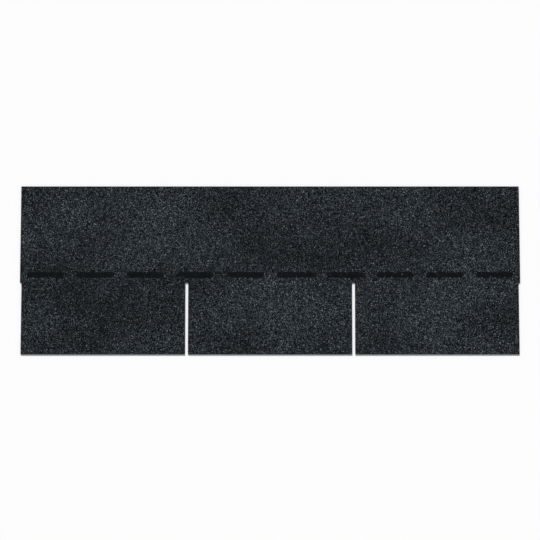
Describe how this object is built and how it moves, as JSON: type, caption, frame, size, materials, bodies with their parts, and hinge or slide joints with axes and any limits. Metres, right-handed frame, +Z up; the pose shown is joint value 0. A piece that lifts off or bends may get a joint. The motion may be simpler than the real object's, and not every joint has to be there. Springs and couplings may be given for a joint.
{
  "type": "three-tab asphalt strip shingle",
  "caption": "Flat strip shingle of granule-coated asphalt: tabs parted by slots, a dashed sealant strip above them and a release film on the back. Laid in courses on a pitched roof.",
  "frame": {"origin": "middle of the back face, on the surface that the strip lies on", "axes": "+X along the strip, +Y from the butt edge of the tabs to the top edge, +Z up out of the granule face"},
  "size_m": [1, 0.337, 0.0038],
  "materials": {
    "granule_surface": "matte",
    "sealant": "gloss",
    "film": "gloss"
  },
  "bodies": {
    "root": {"shingle_sheet": "granule_surface", "sealant_strip": "sealant", "release_film": "film"}
  },
  "joints": []
}
